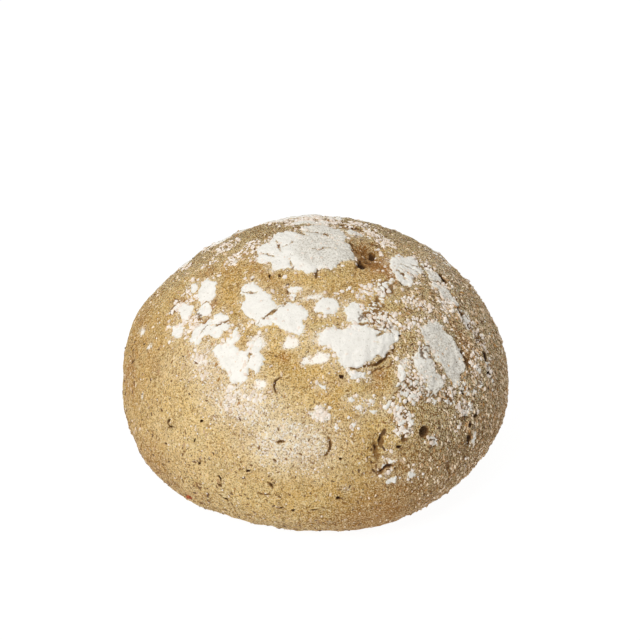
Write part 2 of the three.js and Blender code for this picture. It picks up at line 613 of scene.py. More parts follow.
@dataclass(frozen=True)
class Bake:
    """What baking did to the dough's skin: its unevenness, pores, blisters and creases.

    Attributes:
        lumps: how high each kind of unevenness stands, in millimetres, and its grain.
        ridges: the short upright ridges of the roll's rough right side, and `ridge_rise` their height.
        ridge_squeeze: how much of a ridge's height counts, so that ridges run upright.
        ragged: what makes the marks' edges uneven, and `ragged_by` how far, in millimetres.
        blisters: low domes with a groove that painted shade darkens.
        pores: holes, slits and creases.
    """

    dough: Dough
    lumps: tuple[tuple[float, Grain], ...] = (
        (0.32, Grain(11, 3, 2)),
        (0.22, Grain(4.2, 8, 2)),
        (0.16, Grain(1.7, 21, 2)),
    )
    ridges: Grain = Grain(1.6, 5, 2)
    ridge_rise: float = 0.35
    ridge_squeeze: float = 0.4
    ragged: Grain = Grain(1.2, 41, 2)
    ragged_by: float = 0.25
    blisters: tuple[Blister, ...] = (
        # front
        Blister(Spot(290, 9, 2.4, 2.2), 0.5, 0.4, 110, 95),
        Blister(Spot(258, 48, 1.9, 2.2), 0.4, 0.45, 170, 75),
        Blister(Spot(272, 67, 2.4, 3), 0.4, 0.4, -15, 60),
        Blister(Spot(259, 64, 2, 1.8), 0.4, 0.4, -70, 40),
        Blister(Spot(222, 74, 1, 0.9), 0.3, 0.6, 225, 100),
        Blister(Spot(256, 84, 2, 1.7), 0.5, 0.5, 35, 40),
        Blister(Spot(256, 86, 2.2, 1.2), 0.2, 0.4, -90, 50),
        Blister(Spot(306, 75, 1.8, 1.4), 0.35, 0.35, -40, 60),
        Blister(Spot(292, 80, 2, 1.2), 0.3, 0.35, 120, 80),
        # sides and back
        Blister(Spot(35, 45, 3, 2.4), 0.4, 0.4, 30, 70), Blister(Spot(75, 62, 2.4, 2), 0.4, 0.4, 140, 80),
        Blister(Spot(120, 55, 3.2, 2.6), 0.5, 0.4, 80, 70),
        Blister(Spot(150, 78, 2.2, 1.8), 0.4, 0.4, 200, 80),
        Blister(Spot(20, 85, 2.6, 2), 0.4, 0.4, 60, 80),
    )
    pores: tuple[Pore, ...] = (
        # the pit beside the crown, and holes round it
        pore(353, 14, 2.2, 1.5, 0, 1.6), pore(28, 14, 1.4, 0.6, 20, 0.4, 0.6),
        pore(19, 19, 1.8, 0.9, 0, 0.5, 0.85), pore(12, 16, 1, 0.5, 60, 0.4, 0.8),
        pore(5, 14, 0.9, 0.5, 0, 0.4, 0.8), pore(342, 13, 0.6, 0.4, 0, 0.4, 0.5),
        pore(17, 18, 3.4, 2, 0, 0.9, 0.3), pore(20, 16, 0.9, 0.5, 30, 0.4, 0.7),
        pore(10, 18, 0.7, 0.4, 80, 0.3, 0.7), pore(12, 16, 6, 4.2, 0, 0.5, 0.32),
        pore(3, 16, 1.2, 0.5, 60, 0.6, 0.9), pore(25, 13, 1.4, 0.4, 10, 0.3, 0.4),
        pore(38, 14, 0.9, 0.7, 0, 0.4, 0.6), pore(30, 22, 3, 0.6, 40, 0.3, 0.4),
        pore(65, 25, 3.8, 1, -5, 0.7, 0.8), pore(102, 19, 2.6, 1.2, 0, 0.3, 0.25),
        pore(346, 28, 0.9, 1.4, 20, 0.5, 0.7), pore(319, 26, 2.4, 0.5, 74, 0.4, 0.5),
        pore(210, 15, 0.5, 0.4, 0, 0.4), pore(220, 13, 0.4, 0.3, 0, 0.3), pore(204, 20, 0.4, 0.3, 0, 0.3),
        # the double crease under the front cake
        pore(283, 42, 1, 0.3, -20, 0.3, 0.7), pore(287, 43, 1.6, 0.3, -10, 0.3, 0.5),
        pore(292, 43, 2.2, 0.4, 0, 0.4, 0.6), pore(298, 43, 2.4, 0.5, 10, 0.6, 0.7),
        pore(303, 42, 1.4, 0.5, 30, 0.5, 0.6), pore(307, 41, 1.4, 0.5, 50, 0.4, 0.5),
        pore(310, 38, 1.4, 0.4, 70, 0.3, 0.4), pore(297, 45, 2.6, 0.3, 0, 0.3, 0.5),
        pore(303, 45, 1.8, 0.4, 20, 0.3, 0.4),
        # round holes on the front
        pore(305, 70, 1.7, 1.5, 0, 1, 0.75), pore(281, 45, 0.6, 0.6, 0, 0.6),
        pore(239, 31, 0.5, 0.4, 0, 0.4), pore(233, 67, 0.5, 0.4, 30, 0.5),
        pore(313, 38, 0.4, 0.35, 0, 0.4), pore(303, 58, 0.4, 0.35, 0, 0.4),
        pore(277, 88, 0.7, 0.6, 0, 0.6), pore(278, 72, 0.4, 0.3, 0, 0.4),
        # the crease in the lower front
        pore(292, 66, 1.2, 0.5, 50, 0.4, 0.7), pore(291, 69, 2, 0.8, 85, 0.5, 0.5),
        pore(291, 68, 1.2, 0.4, 85, 0.4, 0.8), pore(289, 72, 3.4, 0.9, 90, 0.4, 0.4),
        pore(289, 71, 1, 0.4, 90, 0.4, 0.7), pore(298, 69, 1.4, 0.7, 85, 0.4, 0.6),
        pore(296, 72, 0.7, 0.5, 0, 0.5, 0.9), pore(289, 80, 1.2, 0.9, 0, 0.3, 0.4),
        pore(291, 78, 0.6, 0.4, 0, 0.2, 0.6), pore(294, 80, 0.5, 0.4, 40, 0.2, 0.6),
        # the right side's furrow
        pore(7, 42, 1.8, 0.9, 40, 0.8, 0.9), pore(351, 50, 3, 1.4, 80, 0.7, 0.7),
        pore(352, 48, 1.4, 1, 80, 0.6, 1), pore(349, 53, 1.8, 1, 85, 0.6, 0.9),
        pore(348, 57, 6, 2, 85, 0.6, 0.4), pore(346, 59, 2, 1, 85, 0.6, 0.9),
        pore(334, 55, 2.2, 0.5, 85, 0.5, 0.7), pore(333, 59, 1.8, 1, 60, 0.4, 0.5),
        pore(343, 64, 1.7, 1.5, 90, 0.8), pore(340, 69, 1.3, 1, 90, 0.5, 0.9),
        pore(341, 74, 1, 0.7, 90, 0.4, 0.7), pore(325, 66, 1.2, 0.5, 90, 0.4, 0.8),
        pore(323, 74, 0.7, 0.7, 40, 0.4, 0.9), pore(318, 75, 0.6, 0.4, 80, 0.4, 0.8),
        pore(323, 78, 0.7, 0.7, 60, 0.4, 0.9), pore(327, 77, 0.8, 0.7, 20, 0.4, 0.8),
        pore(322, 84, 1.8, 0.5, 80, 0.5, 0.8), pore(327, 85, 1.4, 0.4, 80, 0.4, 0.8),
        pore(312, 89, 2.6, 0.8, 90, 0.4, 0.4),
        # shallow furrows between the plates on the left
        pore(206, 36, 6, 1.2, 126, 0.4, 0.2), pore(186, 44, 5, 1, 52, 0.4, 0.2),
        # slits low on the front and left
        pore(260, 98, 0.9, 0.3, 0, 0.45), pore(264, 99, 0.7, 0.4, 20, 0.45),
        pore(270, 98, 1.1, 0.3, 15, 0.4), pore(287, 100, 0.6, 0.3, 0, 0.4),
        pore(251, 79, 0.6, 0.5, 30, 0.45), pore(235, 83, 0.5, 0.35, 80, 0.4),
        pore(243, 100, 1.8, 0.3, -25, 0.45), pore(254, 115, 0.6, 0.3, 10, 0.4),
        pore(250, 115, 0.8, 0.25, 10, 0.4), pore(242, 86, 0.9, 0.3, -70, 0.4),
        pore(242, 89, 0.8, 0.5, -20, 0.4, 0.7), pore(232, 75, 0.6, 0.3, 80, 0.4),
        # behind
        pore(60, 45, 0.8, 0.6, 20, 0.6), pore(105, 65, 0.6, 0.5, 0, 0.5),
        pore(140, 60, 1.4, 0.4, 40, 0.5, 0.8), pore(85, 85, 0.9, 0.4, 10, 0.5),
        pore(25, 70, 1.2, 0.4, 70, 0.5, 0.8), pore(165, 95, 0.8, 0.4, 0, 0.4),
    )

    def relief(self, skin: Skin) -> tuple[np.ndarray, np.ndarray, np.ndarray]:
        """The crust's relief over the dough.

        Args:
            skin: the dough's skin.

        Returns:
            How far each point rises, in millimetres, how much painted shade the pores, grooves and creases
            put on it, from 0 to 1, and how high it stands in the crust's own grain, from about -1 to 1.
        """
        rise = sum(height * grain.at(skin.form) for height, grain in self.lumps)
        rough = self.ridges.at(skin.form * (1, 1, self.ridge_squeeze))
        right = skin.right()
        rise += self.ridge_rise * right * rough
        middling, finest = (grain.at(skin.form) for _, grain in self.lumps[1:])
        grain = 0.5 * middling + finest + right * rough
        dark = np.zeros(len(rise))
        ragged = skin.form + self.ragged_by * self.ragged.shift(skin.form)
        for mark in self.blisters + self.pores:
            near = self.away(skin, mark) < MARK_DEEP + 2 * mark.spot.length
            push, shade = mark.press(self.dough, ragged[near])
            rise[near] += push
            dark[near] = np.maximum(dark[near], shade)
        return rise, dark, grain

    def fine_places(self, skin: Skin, longest: float) -> np.ndarray:
        """Finds where the crust needs finer squares.

        Args:
            skin: the dough's skin.
            longest: marks with a longer half length, in millimetres, are left out.

        Returns:
            True at each point near one of the pores or grooves.
        """
        wanted = np.zeros(len(skin.form), bool)
        for mark in self.blisters + self.pores:
            if mark.spot.length <= longest:
                wanted |= self.away(skin, mark) < 0.8 + 1.2 * mark.spot.length
        return wanted

    def away(self, skin: Skin, mark: Pore | Blister) -> np.ndarray:
        """Millimetres from each point of the skin to a mark's middle."""
        return np.linalg.norm(skin.form - mark.spot.frame(self.dough)[0], axis=1)


# ---------------------------------------------------------------------------------------------
# Flour: where it caked, cracked, crumbled or only dusted the crust
# ---------------------------------------------------------------------------------------------


class Caking(Enum):
    """How flour lies where it is thick enough to stand over the crust."""

    WHOLE = "caked in plates, with a few cracks"
    CRACKED = "dried and broken into small flakes"


@dataclass(frozen=True)
class Dusting:
    """The flour on the roll, in groups of dabs: around, down, half length, half width and any turn.

    Attributes:
        dough: the roll's form.
        cakes: whole plates; several dabs that meet make one plate.
        seams: cracks through the plates.
        cracked: where a plate broke into flakes.
        curds: where loose curds lie.
        films: where powder hazes the crust, with a sixth number, how strongly.
        dusty_and_shaded: where the plates are greyer, partly from thin flour and partly as painted shade
            on the crown and the right.
        sides: how many straight sides a broken plate's dab has.
        side_jitter: how far a side may turn, as a share of the angle between two.
        side_reach: the nearest that a side lies, and how much farther it may, as shares of the reach.
        flakes: the pattern in which plates break, and `gap` half of the gap between two flakes.
        seam_lip: how far a plate stays back from a seam's edge.
        bends: what shifts the edges sideways, with how far, in millimetres.
        strays: the same for loose flour.
    """

    dough: Dough
    cakes: Dabs = (
        # the crown, and the ridge behind it
        (135, 2, 9.5, 8.5), (166, 13, 4.4, 4.6), (132, 13, 5, 4.5), (32, 7, 5.6, 5.6), (330, 5, 3, 3),
        (75, 14, 5, 5), (96, 17, 2.4, 1.6), (55, 21, 2.6, 1.6), (92, 24, 6, 2),
        # high left
        (192, 34, 3.8, 2.8), (202, 37, 2.2, 1.8), (183, 38, 1.6, 1.2),
        # left, two that lie one below the other
        (195, 43, 2.6, 2.1), (202, 48, 2.2, 1.6),
        # left, leaning uphill
        (218, 37, 3.6, 2.6, 130), (215, 40, 2.6, 2.4), (213, 43, 2.8, 2.4, 45),
        # the forked one below
        (230, 38, 2.4, 1.3, 110), (229, 43, 2.8, 2.3), (234, 44, 3.4, 2.8), (243, 42, 3.2, 2.8),
        (242, 38, 2.8, 1.9, 75), (239, 46, 3.2, 2.2), (241, 49, 1.8, 1.4),
        # the row in front of the crown
        (229, 24, 5, 4, -10), (214, 22, 3.4, 2.4, -10), (238, 28, 2.6, 1.8), (253, 25, 4.2, 3.8),
        (260, 29, 2.2, 1.8), (249, 15, 1.4, 0.9), (250, 18, 1, 1.3), (280, 21, 3.2, 2.5),
        # the large one on the front
        (291, 35, 5.8, 5.4), (297, 26, 3.6, 2.4, 90), (280, 32, 3.2, 2.2), (301, 37, 4.8, 3.6),
        (308, 36, 3, 3), (289, 40, 4.8, 2), (288, 45, 2.2, 1.1),
        # right
        (328, 50, 8.8, 4.1, 80), (316, 53, 5.4, 2.7, -85), (317, 46, 1.3, 0.6, 50),
        (321, 46, 1.3, 0.9, 50), (319, 51, 0.8, 0.7), (302, 52, 0.6, 0.6), (305, 49, 2.4, 1.1, 75),
        (2, 27, 5.6, 3.6), (9, 31, 4, 2.6), (1, 40, 5.6, 1.8, 30), (356, 45, 2.6, 1.4, 30),
        # crumbs low on the front
        (273, 47, 0.8, 0.7), (283, 53, 1, 0.7), (286, 56, 1.1, 0.7, 20), (290, 54, 1, 0.8),
        (295, 57, 1.3, 0.8, 30), (290, 58, 0.8, 0.6), (277, 61, 0.6, 0.6), (283, 61, 0.8, 0.6),
        (293, 77, 0.8, 0.6), (291, 79, 0.7, 0.5), (293, 84, 1.4, 1.1), (299, 85, 1.1, 1.1),
        (324, 85, 1.6, 1, 80), (335, 63, 0.9, 0.6, 80), (341, 67, 1.2, 0.7, 80), (341, 73, 0.8, 0.6, 80),
        (333, 68, 0.8, 0.6, 80), (330, 69, 0.7, 0.6), (325, 73, 1, 0.9),
        # behind
        (95, 40, 5.2, 3.4, 20), (112, 34, 3, 2.4, -30), (66, 48, 3.6, 2.4, 40), (140, 42, 3.4, 2.2, -15),
        (152, 52, 2.2, 1.4, 30), (40, 56, 2.6, 1.8, -40), (84, 58, 2.2, 1.6, 10),
    )
    seams: Dabs = (
        # the crown
        (88, 14, 3.2, 0.25, -15), (76, 13, 2, 0.2, -35), (150, 12, 2.4, 0.2, 45),
        (143, 10, 1.4, 0.15, -10), (172, 14, 1.6, 0.2, 70), (215, 8, 1.4, 0.2, -40),
        (195, 14, 1.4, 0.2, 30), (60, 4, 2, 0.2, 40),
        # left
        (200, 35, 1.8, 0.2, 70), (190, 39, 2, 0.25, 10), (214, 41, 1.6, 0.25, 90),
        (219, 36, 1.4, 0.2, 60), (241, 41, 1.2, 0.1, 95),
        # the row, and the front
        (242, 25, 3, 0.15, 60), (215, 23, 1.4, 0.2, 45), (302, 32, 3, 0.25, -40),
        (307, 34, 2.4, 0.25, 30), (311, 34, 1.6, 0.25, 80), (286, 43, 2.6, 0.3, -10), (293, 43, 3, 0.3),
        # right
        (319, 46, 1.4, 0.15, 50), (322, 46, 2, 0.15, 85), (320, 53, 2.2, 0.2, 85),
        (355, 26, 1.6, 0.15, 60), (358, 29, 1.8, 0.15, 75), (4, 30, 2.4, 0.2, 80), (9, 32, 1.6, 0.15, 80),
        (2, 41, 2, 0.2, 90),
    )
    cracked: Dabs = (
        # left
        (204, 40, 1.8, 1.4), (190, 46, 1.8, 1.4),
        # the broken upper edge of the large one
        (304, 28, 3, 2.2), (310, 30, 2.8, 2.4), (312, 33, 2, 1.6), (315, 26, 1.8, 1.2),
        # right of the crown
        (331, 24, 3.4, 2.2), (12, 36, 2.4, 1.4),
        # right
        (319, 47, 2.4, 1.8), (306, 54, 3.2, 2.6), (309, 58, 3.6, 2), (313, 60, 2.6, 1.6),
        (318, 64, 2.4, 2), (299, 64, 2.8, 3.4), (308, 75, 2, 1.6), (350, 51, 2.6, 2.4, 80),
        (346, 57, 3, 2.2, 80), (335, 64, 1.4, 1, 80), (341, 68, 1.4, 1.6, 80), (333, 68, 1.2, 1.2),
        (327, 65, 1.2, 1.4), (325, 72, 1.2, 1.4),
        # behind
        (80, 36, 3, 2), (124, 46, 2.8, 1.8, 50), (28, 50, 2.6, 1.6, 20), (160, 64, 2, 1.4, -40),
        (104, 62, 1.8, 1.2, 70),
    )
    curds: Dabs = (
        # the top, from left to right
        (155, 21, 4, 3), (172, 25, 2.6, 2.2), (150, 32, 4, 3), (85, 28, 14, 4), (40, 26, 6, 3),
        (326, 22, 3, 2.4), (314, 20, 2.4, 1.4), (14, 20, 2, 0.7), (300, 17, 2, 1), (336, 34, 6, 1.8, -60),
        (12, 36, 3, 2), (350, 44, 5, 3), (349, 57, 8, 3, 80), (336, 62, 3, 2, 80),
        # the front's edges
        (316, 34, 3.4, 3), (308, 31, 3.6, 3.4), (324, 37, 2.4, 1.6), (273, 56, 2.6, 2.6),
        (290, 54, 2.4, 1), (296, 58, 1.6, 1.2), (286, 57, 1.6, 1),
        # right and lower right
        (308, 54, 4.4, 4), (320, 64, 2.6, 2.2), (299, 64, 3.2, 3.8), (322, 71, 2.4, 2.4),
        (318, 76, 1.6, 1.6), (307, 74, 2.4, 1.8), (292, 78, 2.2, 1.2), (324, 85, 2.6, 1.4, 80),
        (319, 94, 2.2, 0.8, 80),
        # left
        (204, 44, 4, 3), (190, 42, 4, 3.6), (168, 34, 3, 1, 80), (160, 46, 3, 1, 70), (222, 49, 3.4, 2.4),
        (227, 53, 2.2, 1.8), (240, 54, 2.6, 2.4), (249, 53, 2.6, 1.8), (245, 58, 3, 1.6),
        # behind
        (100, 50, 5, 3, 10), (60, 52, 4, 2.4, -30), (134, 58, 3.6, 2.2, 20), (24, 66, 3.4, 2, 60),
    )
    films: Dabs = (
        # soft patches, almost as white as the plates
        (267, 17, 2.8, 1.8, 0, 1.1), (279, 16, 2, 1.4, 0, 0.9), (259, 34, 2.6, 2.6, 0, 1.5),
        (266, 38, 2.4, 1.6, 0, 1.1), (273, 39, 2.6, 1.8, 0, 1.4), (274, 33, 5, 3.4, 0, 0.8),
        (250, 49, 2.2, 1.7, 0, 1.2), (240, 52, 1.6, 1.2, 0, 1.2), (242, 36, 3.2, 2.2, 0, 1),
        (222, 49, 3, 2.4, 0, 0.9), (195, 60, 2, 1.2, 40, 1.2), (185, 63, 2, 1, 30, 1.3),
        (205, 76, 1, 1.2, 0, 1), (171, 25, 2.6, 2.2, 0, 0.9), (273, 56, 2.8, 3, 0, 1),
        (270, 66, 3.4, 3, 0, 0.4), (259, 64, 2.6, 2.2, 0, 0.4), (279, 84, 2, 1.2, 0, 0.6),
        (308, 47, 2.4, 1.4, 0, 1), (300, 66, 2.2, 2.8, 0, 0.9), (311, 58, 3.2, 2.4, 0, 0.8),
        # haze
        (245, 56, 18, 10, 0, 0.75), (262, 66, 20, 12, 0, 0.75), (226, 48, 13, 10, 0, 0.7),
        (212, 56, 8, 9, 0, 0.4), (235, 78, 28, 16, 0, 0.35), (85, 30, 20, 7, 0, 0.4),
        (40, 30, 10, 6, 0, 0.4), (158, 24, 8, 6, 0, 0.3), (162, 42, 9, 20, 0, 0.3),
        (20, 45, 14, 10, 0, 0.6), (318, 50, 11, 8, 0, 0.25), (350, 40, 9, 14, 0, 0.3),
        (5, 60, 16, 14, 0, 0.35), (312, 72, 14, 10, 0, 0.15), (110, 48, 18, 12, 0, 0.45),
        (50, 56, 16, 12, 30, 0.35),
    )
    # greyer plates on the crown and the right: partly thin flour, partly painted shade
    dusty_and_shaded: Dabs = (
        (50, 6, 8, 8), (75, 18, 8, 5), (328, 50, 11, 5, 80), (314, 55, 6, 4), (0, 40, 9, 5),
    )
    sides: int = 7
    side_jitter: float = 0.7
    side_reach: tuple[float, float] = (0.82, 0.3)
    flakes: Grain = Grain(1.8, 53)
    gap: float = 0.15
    seam_lip: float = 0.02
    bends: tuple[tuple[float, Grain], ...] = ((0.7, Grain(3.2, 31, 2)), (0.4, Grain(0.9, 37, 2)))
    strays: tuple[float, Grain] = (1.2, Grain(4.2, 61, 3))

    def depth(self, dabs: Dabs, points: np.ndarray, broken: bool = False) -> np.ndarray:
        """How far each point lies inside a group of dabs.

        Args:
            dabs: the group.
            points: the skin's points, nudged or not, in millimetres.
            broken: gives each dab straight, uneven sides, as a dry plate breaks, and no round ones.

        Returns:
            Millimetres inside the nearest edge; negative outside.
        """
        depth = np.full(len(points), -9.0)
        for count, dab in enumerate(dabs):
            spot = Spot(*dab)
            u, v, w = spot.shares(self.dough, points, DAB_DEEP)
            share = np.sqrt(u**2 + v**2 + w**2)
            if broken:
                chance = np.random.default_rng(count + 5).random((2, self.sides))
                facing = (np.arange(self.sides) + self.side_jitter * chance[0]) * 2 * np.pi / self.sides
                reach = self.side_reach[0] + self.side_reach[1] * chance[1]
                sides = (np.outer(u, np.cos(facing)) + np.outer(v, np.sin(facing))) / reach
                share = np.hypot(np.maximum(sides.max(1), 0), w)
            depth = np.maximum(depth, min(spot.length, spot.width) * (1 - share))
        return depth

    def nudged(self, skin: Skin) -> np.ndarray:
        """The skin's points shifted a little sideways, so that no edge runs straight."""
        (far, coarse), (near, fine) = self.bends
        return skin.form + far * coarse.shift(skin.form) + near * fine.shift(skin.form)

    def caked(self, skin: Skin, caking: Caking) -> np.ndarray:
        """Where flour caked.

        Args:
            skin: the dough's skin.
            caking: whole plates or flakes.

        Returns:
            Millimetres inside their edges; negative outside.
        """
        nudged = self.nudged(skin)
        if caking is Caking.WHOLE:
            whole = -self.seam_lip - self.depth(self.seams, nudged)
            return np.minimum(self.depth(self.cakes, nudged, True), whole)
        border, middle, chance = self.flakes.cells(nudged)
        flakes = self.depth(self.cracked, middle) + 0.9 * (chance - 0.3)
        return np.minimum(flakes, border - self.gap)

    def cracks(self, skin: Skin) -> np.ndarray:
        """How much painted shade darkens the crust in the cracks through plates and between flakes.

        Args:
            skin: the dough's skin.

        Returns:
            Shares from 0 to 1 at each point.
        """
        nudged = self.nudged(skin)
        seams = smooth(self.depth(self.seams, nudged), -0.25, 0.1)
        seams = seams * smooth(self.depth(self.cakes, nudged), -0.5, 0.3)
        border = self.flakes.cells(nudged)[0]
        between = smooth(-border, -0.35, -0.1) * smooth(self.depth(self.cracked, nudged), -0.3, 0.5)
        return np.maximum(seams, 0.8 * between)

    def loose(self, skin: Skin) -> tuple[np.ndarray, np.ndarray]:
        """Where loose curds lie, and where powder hazes the crust.

        Args:
            skin: the dough's skin.

        Returns:
            Shares from 0 to 1 at each point, of curds and of powder.
        """
        reach, grain = self.strays
        nudged = skin.form + reach * grain.shift(skin.form)
        near = smooth(self.depth(self.cakes, nudged, True), -3.0, 0.1)
        curds = np.maximum(smooth(self.depth(self.curds, nudged), -0.6, 0.8), 0.25 * near**2)
        powder = np.maximum(0.6 * near, 0.4 * smooth(self.depth(self.cracked, nudged), -1.5, 0.3))
        powder = np.maximum(powder, 0.4 * curds)
        for *place, strength in self.films:
            u, v, w = Spot(*place).shares(self.dough, nudged, SHADE_DEEP)
            powder = np.maximum(powder, strength * smooth(1.5 - np.sqrt(u**2 + v**2 + w**2), 0, 1.3))
        return curds, powder

    def greyness(self, skin: Skin) -> np.ndarray:
        """How grey the plates are at each point, from 0 to 1: partly thin flour, partly painted shade."""
        return smooth(self.depth(self.dusty_and_shaded, self.nudged(skin)), -3.0, 1.0)


# ---------------------------------------------------------------------------------------------
# Finishes
# ---------------------------------------------------------------------------------------------


def new_material(name: str) -> tuple[bpy.types.Material, bpy.types.NodeTree]:
    """Starts a material.

    Args:
        name: what the material is.

    Returns:
        The material and its node tree, which is still empty.
    """
    material = bpy.data.materials.new(name)
    material.use_nodes = True
    material.node_tree.nodes.clear()
    return material, material.node_tree


def surface(tree: bpy.types.NodeTree, inputs: dict) -> None:
    """Ends a material with its surface.

    Args:
        tree: the material's tree.
        inputs: what the surface is made of, by the Principled BSDF's own names, as add_node takes them.
    """
    shader = add_node(tree, "ShaderNodeBsdfPrincipled", inputs)
    add_node(tree, "ShaderNodeOutputMaterial", {"Surface": shader})


def tinted(tree: bpy.types.NodeTree, colour: str, layers: tuple[tuple, ...]) -> bpy.types.NodeSocket:
    """Lays tints over a colour, one after the other.

    Args:
        tree: the material's tree.
        colour: the hex colour under all tints.
        layers: for each tint its driver, the driver's values where the tint begins and where it is
            strongest, its share there, and its hex colour.

    Returns:
        The socket that gives the whole colour.
    """
    for driver, low, high, most, tint in layers:
        spread = {"Value": driver, "From Min": low, "From Max": high, "To Max": most}
        share = add_node(tree, "ShaderNodeMapRange", spread, interpolation_type="SMOOTHSTEP")
        colour = add_node(tree, "ShaderNodeMix", {0: share, 6: colour, 7: tint}, data_type="RGBA")
    return colour.outputs[2]


@dataclass(frozen=True)
class CrustFinish:
    """Baked rice-and-seed crust: matt, dry and finely sandy, its starch browned to straw and tan.

    The eye sees soft mottling under a grain of a few tenths of a millimetre, more orange where the
    oven caught it, and hazed and peppered with white where flour lies. Painted shade darkens its pores,
    grooves and cracks, and darker golden tints towards the bottom and the lower right are painted shade
    too. Its grain's tops are lighter and its hollows darker, partly from flour and partly as painted
    highlight and painted shade, most of all on the rough right side. The crust is dry and porous, so it
    hardly shines, and a little light gets into its outermost layer.

    Attributes:
        sizes: distance between the features of each noise in millimetres, its detail and its roughness.
            Rice grit and flour specks are 0.1 to 0.2 mm, too fine to show, so "fine" and "speck" are
            drawn at 0.35 and 0.7 mm, as coarse as they need to show.
        lively: how much more the grain swings on the rough side, and how much it swings elsewhere; the
            extra swing partly paints highlights and shade on its grains.
        haze: the powder's strength as an even haze.
        bump: how high the grain stands, in millimetres.
        soak: how deep light gets in, in millimetres.
    """

    straw: str = "#f1cb7e"
    tan: str = "#dcaa50"
    toasted: str = "#7a4a18"
    olive: str = "#bb9f58"
    cream: str = "#fce6b6"
    # the next two: golden browns that paint shade towards the bottom and the lower right, and also tint
    # the left edge and a band under the crown
    golden_and_shade: str = "#a2691e"
    amber_and_shade: str = "#cf9440"
    orange: str = "#b87828"
    powder: str = "#fbf4e8"
    veil: str = "#f4e8ce"
    # the next two: a brown that is partly toasting round pores and partly painted shade, and the painted
    # shade inside pores, grooves, creases and cracks
    rim: str = "#8c5e28"
    pit: str = "#42270f"
    sizes: tuple[tuple[str, float, float, float], ...] = (
        ("broad", 14, 2, 0.5),
        ("patch", 5, 3, 0.6),
        ("mottle", 2.2, 4, 0.7),
        ("grain", 0.8, 3, 0.8),
        ("fine", 0.35, 1, 0.5),
        ("speck", 0.7, 3, 0.75),
    )
    lively: tuple[float, float] = (2.4, 0.9)
    haze: float = 0.75
    bump: float = 0.5
    soak: float = 0.8

    def material(self) -> bpy.types.Material:
        """Builds the crust's material.

        Returns:
            The finished material.
        """
        material, tree = new_material("baked_rice_crust")
        place = add_node(tree, "ShaderNodeTexCoord").outputs["Object"]
        noise = {}
        for label, size, detail, roughness in self.sizes:
            inputs = {"Vector": place, "Scale": per_metre(size), "Detail": detail, "Roughness": roughness}
            noise[label] = add_node(tree, "ShaderNodeTexNoise", inputs)
        value = {}
        for label in ("browned", "baked", "raised", "rough", "powder", "pit"):
            value[label] = add_node(tree, "ShaderNodeAttribute", attribute_name=label).outputs["Fac"]
        # the rough right side swings more between light and dark: partly its coarser crust, partly painted
        # highlight and shade
        lively = {0: value["rough"], 1: self.lively[0], 2: self.lively[1]}
        lively = add_node(tree, "ShaderNodeMath", lively, operation="MULTIPLY_ADD")
        for label in ("mottle", "grain", "fine"):
            swing = add_node(tree, "ShaderNodeMath", {0: noise[label], 1: 0.5}, operation="SUBTRACT")
            swing = {0: swing, 1: lively, 2: 0.5}
            noise[label] = add_node(tree, "ShaderNodeMath", swing, operation="MULTIPLY_ADD")
        # single specks of flour show white, the more the thicker the powder is, and thick powder is a film
        white = {0: noise["speck"], 1: 2.2, 2: value["powder"]}
        white = add_node(tree, "ShaderNodeMath", white, operation="MULTIPLY_ADD")
        haze = add_node(tree, "ShaderNodeMath", {0: value["powder"], 1: self.haze}, operation="MULTIPLY")
        film = {"Value": value["powder"], "From Min": 0.55, "From Max": 1.25}
        film = add_node(tree, "ShaderNodeMapRange", film, interpolation_type="SMOOTHSTEP")
        layers = (  # driver, where the tint begins, where it is strongest, its share there, the tint
            (noise["broad"], 0.35, 0.65, 0.7, self.tan),
            (noise["patch"], 0.48, 0.68, 0.35, self.olive),
            # painted shade towards the bottom and the lower right, and a golden tint on the left edge and
            # under the crown
            (value["baked"], 0.0, 1.0, 1.0, self.golden_and_shade),
            (value["browned"], 0.0, 1.0, 0.9, self.orange),
            (haze, 0.0, 1.0, 0.9, self.veil),
            # lighter tops and darker hollows of the grain: partly flour and toasting, partly painted
            # highlight and painted shade
            (value["raised"], -0.05, -0.8, 0.5, self.toasted),
            (value["raised"], 0.1, 0.9, 0.6, self.cream),
            (noise["mottle"], 0.52, 0.72, 0.4, self.toasted),
            (noise["mottle"], 0.46, 0.28, 0.25, self.cream),
            (noise["grain"], 0.47, 0.3, 0.7, self.toasted),
            (noise["grain"], 0.53, 0.68, 0.7, self.cream),
            (noise["fine"], 0.45, 0.27, 0.75, self.toasted),
            (noise["fine"], 0.55, 0.72, 0.95, self.cream),
            # more painted shade, warmer, towards the bottom and the lower right
            (value["baked"], 0.2, 1.0, 0.3, self.amber_and_shade),
            (value["browned"], 0.3, 1.0, 0.4, self.orange),
            (film, 0.0, 1.0, 0.95, self.powder),
            (white, 1.85, 2.1, 1.0, self.powder),
            # painted shade in pores, grooves, creases and cracks, ringed by a brown that is partly
            # toasting and partly painted shade
            (value["pit"], 0.0, 0.5, 0.85, self.rim),
            (value["pit"], 0.3, 1.0, 1.0, self.pit),
        )
        height = add_node(tree, "ShaderNodeMath", {0: noise["grain"], 1: noise["fine"]}, operation="ADD")
        bare = add_node(tree, "ShaderNodeMath", {0: film, 1: -0.85, 2: 1.0}, operation="MULTIPLY_ADD")
        bump = {"Height": height, "Strength": bare, "Distance": self.bump * MM}
        inputs = {
            "Base Color": tinted(tree, self.straw, layers),
            "Roughness": 0.8,
            "Specular IOR Level": 0.3,
            "Subsurface Weight": 0.05,
            "Subsurface Radius": (1.0, 0.6, 0.3),
            "Subsurface Scale": self.soak * MM,
            "Normal": add_node(tree, "ShaderNodeBump", bump),
        }
        surface(tree, inputs)
        return material


